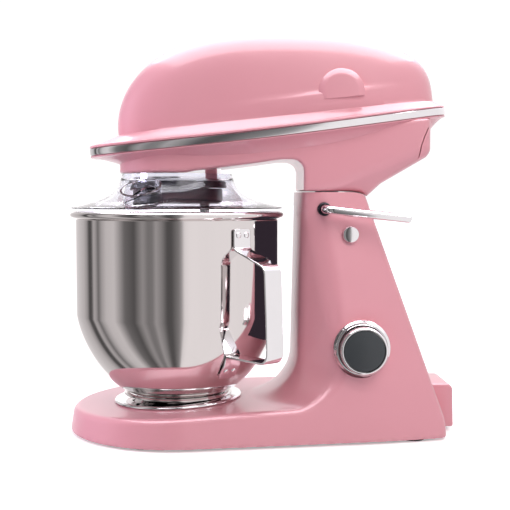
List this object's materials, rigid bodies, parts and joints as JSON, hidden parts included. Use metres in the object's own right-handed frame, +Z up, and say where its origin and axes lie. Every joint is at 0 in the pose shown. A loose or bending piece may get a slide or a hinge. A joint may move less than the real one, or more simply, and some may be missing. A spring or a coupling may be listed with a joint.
{
  "type": "stand mixer",
  "caption": "Tilt-head planetary stand mixer with a twist-lock steel bowl, strap handle, clear splash guard, lock lever and speed knob.",
  "frame": {"origin": "on the bowl's axis, at the level of the table under the feet, 2.5 mm below the bottom cover's face", "axes": "+Z up along the bowl's axis, -X towards the nose, -Y towards the side with the knob and the lever"},
  "size_m": [0.394, 0.2403, 0.4042],
  "materials": {
    "pink_enamel": "gloss enamel",
    "chrome_trim": "polished",
    "polished_steel": "polished",
    "black_plastic": "satin",
    "clear_plastic": "clear gloss",
    "black_rubber": "matte",
    "knob_dark": "satin",
    "alloy": "satin",
    "circuit_board": "satin",
    "wound_core": "varnished",
    "nylon": "satin"
  },
  "bodies": {
    "stand": {"stand_casting": "pink_enamel", "bottom_cover": "black_plastic", "foot_1": "black_rubber", "foot_2": "black_rubber", "foot_3": "black_rubber", "foot_4": "black_rubber", "cover_screw_1": "alloy", "cover_screw_2": "alloy", "cover_screw_3": "alloy", "cover_screw_4": "alloy", "bowl_seat": "chrome_trim", "rear_housing": "pink_enamel", "power_inlet": "black_plastic", "hinge_pin": "alloy", "hinge_cap_left": "chrome_trim", "hinge_cap_right": "chrome_trim", "control_board": "circuit_board", "speed_potentiometer": "black_plastic", "knob_bezel": "chrome_trim", "lever_bush": "black_plastic"},
    "knob": {"speed_knob": "chrome_trim", "knob_face": "knob_dark"},
    "lever": {"lock_lever": "chrome_trim", "lock_cam": "alloy"},
    "bowl_body": {"bowl": "polished_steel", "bowl_foot": "polished_steel", "bowl_handle": "polished_steel", "handle_rivet_1": "polished_steel", "handle_rivet_2": "polished_steel", "handle_rivet_3": "polished_steel", "handle_rivet_4": "polished_steel"},
    "head": {"head_cover": "pink_enamel", "trim_band": "chrome_trim", "head_housing": "pink_enamel", "rear_panel": "pink_enamel", "side_boss_left": "pink_enamel", "side_boss_right": "pink_enamel", "hinge_bracket": "alloy", "hub_ring": "chrome_trim", "ring_gear": "nylon", "guard_collar": "black_plastic", "gear_frame": "alloy", "shaft_bearing_lower": "alloy", "shaft_bearing_upper": "alloy", "motor_case": "alloy", "drive_belt": "black_rubber"},
    "guard": {"splash_guard": "clear_plastic"},
    "carrier": {"planet_carrier": "black_plastic", "main_shaft": "alloy", "main_pulley": "nylon"},
    "tool": {"tool_shaft": "alloy", "planet_gear": "nylon", "beater": "alloy"},
    "rotor": {"armature": "wound_core", "motor_pulley": "nylon"}
  },
  "joints": [
    {"name": "head_tilt", "type": "hinge", "parent": "stand", "child": "head", "pos_m": [0.173, 0, 0.203], "axis": [0, 1, 0], "range_deg": [0, 35]},
    {"name": "carrier_spin", "type": "hinge", "parent": "head", "child": "carrier", "pos_m": [0, 0, 0.24], "axis": [0, 0, 1], "continuous": true},
    {"name": "tool_spin", "type": "hinge", "parent": "carrier", "child": "tool", "pos_m": [0.028, 0, 0.22], "axis": [0, 0, 1], "continuous": true},
    {"name": "motor_spin", "type": "hinge", "parent": "head", "child": "rotor", "pos_m": [0.112, 0, 0.3], "axis": [0, 0, 1], "continuous": true},
    {"name": "guard_twist", "type": "hinge", "parent": "head", "child": "guard", "pos_m": [0, 0, 0.25], "axis": [0, 0, 1], "range_deg": [0, 20]},
    {"name": "bowl_twist", "type": "hinge", "parent": "stand", "child": "bowl_body", "pos_m": [0, 0, 0.1], "axis": [0, 0, 1], "range_deg": [-25, 0]},
    {"name": "lever_turn", "type": "hinge", "parent": "stand", "child": "lever", "pos_m": [0.147, 0, 0.228], "axis": [0, 1, 0], "range_deg": [-35, 0]},
    {"name": "knob_turn", "type": "hinge", "parent": "stand", "child": "knob", "pos_m": [0.182, 0, 0.0925], "axis": [0, 1, 0], "range_deg": [0, 270]}
  ],
  "couplings": [
    {"joint": "tool_spin", "follows": "carrier_spin", "ratio": -3.8},
    {"joint": "motor_spin", "follows": "carrier_spin", "ratio": 3}
  ]
}
